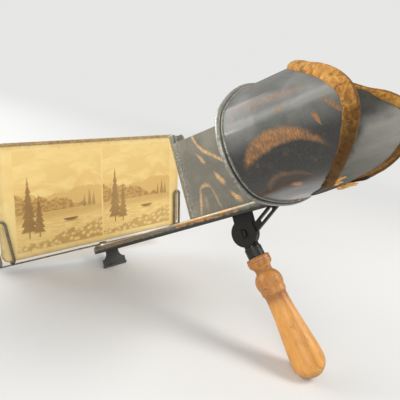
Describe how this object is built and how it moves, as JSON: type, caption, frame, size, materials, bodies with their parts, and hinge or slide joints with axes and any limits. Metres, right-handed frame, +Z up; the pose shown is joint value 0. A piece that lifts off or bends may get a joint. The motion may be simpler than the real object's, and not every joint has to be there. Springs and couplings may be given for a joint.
{
  "type": "stereoscope",
  "caption": "Hand-held folding stereoscope: sheet-metal hood with two lenses, hollow septum, slotted rail with a sliding card holder, and a turned wooden folding handle.",
  "frame": {"origin": "middle of the part's box, on the surface it rests on", "axes": "+X to the user's right, +Y from the eyes toward the cards, +Z up, as it lies on a table on its handle's end and its finger tab"},
  "size_m": [0.1894, 0.2493, 0.1973],
  "materials": {
    "japanned_tin": "gloss black with brown burl marks, worn at the edges",
    "bare_tin": "black worn to grey metal and orange-brown rust along the edges",
    "black_iron": "black paint, worn",
    "steel_wire": "dull, brown with age",
    "screw_steel": "dull",
    "brass": "tarnished",
    "turned_wood": "light hardwood, worn varnish",
    "filler_wood": "bare softwood",
    "brown_plush": "short pile, worn",
    "lens_glass": "polished",
    "card_mount": "cream mount with sepia prints, plain margins"
  },
  "bodies": {
    "viewer": {"hood": "japanned_tin", "hood_trim": "brown_plush", "lens_board": "japanned_tin", "left_lens": "lens_glass", "right_lens": "lens_glass", "left_lens_frame": "japanned_tin", "right_lens_frame": "japanned_tin", "lens_frame_screws": "brass", "septum": "japanned_tin", "septum_rivets": "brass", "rail": "bare_tin", "rail_filler": "filler_wood", "rail_rivets": "brass", "handle_bracket": "black_iron", "bracket_screws": "screw_steel", "pivot_screw": "screw_steel", "pivot_nut": "screw_steel"},
    "handle": {"handle_ferrule": "black_iron", "handle_grip": "turned_wood", "handle_tang": "screw_steel", "ferrule_pin": "screw_steel"},
    "carriage": {"guide_plate": "bare_tin", "finger_tab": "japanned_tin", "slide_stud": "brass", "swivel_washer": "bare_tin", "friction_spring": "brass"},
    "card_holder": {"crossbar": "bare_tin", "left_card_clip": "steel_wire", "right_card_clip": "steel_wire"},
    "front_stereo_card": {"front_card": "card_mount"},
    "middle_stereo_card": {"middle_card": "card_mount"},
    "back_stereo_card": {"back_card": "card_mount"}
  },
  "joints": [
    {"name": "handle_fold", "type": "hinge", "parent": "viewer", "child": "handle", "pos_m": [0.004, -0.04354, 0.07644], "axis": [1, 0, 0], "range_deg": [0, 95]},
    {"name": "card_slide", "type": "slide", "parent": "viewer", "child": "carriage", "axis": [0, 0.8302, -0.5574], "range_m": [-0.066, 0]},
    {"name": "holder_turn", "type": "hinge", "parent": "carriage", "child": "card_holder", "pos_m": [0.004, 0.08924, 0.01282], "axis": [0, 0.5574, 0.8302], "range_deg": [-7, 29]},
    {"name": "front_card_lift", "type": "slide", "parent": "card_holder", "child": "front_stereo_card", "axis": [-0.0739, 0.198, 0.9774], "range_m": [0, 0.095]},
    {"name": "middle_card_lift", "type": "slide", "parent": "card_holder", "child": "middle_stereo_card", "axis": [-0.0739, 0.198, 0.9774], "range_m": [0, 0.095]},
    {"name": "back_card_lift", "type": "slide", "parent": "card_holder", "child": "back_stereo_card", "axis": [-0.0739, 0.198, 0.9774], "range_m": [0, 0.095]}
  ]
}
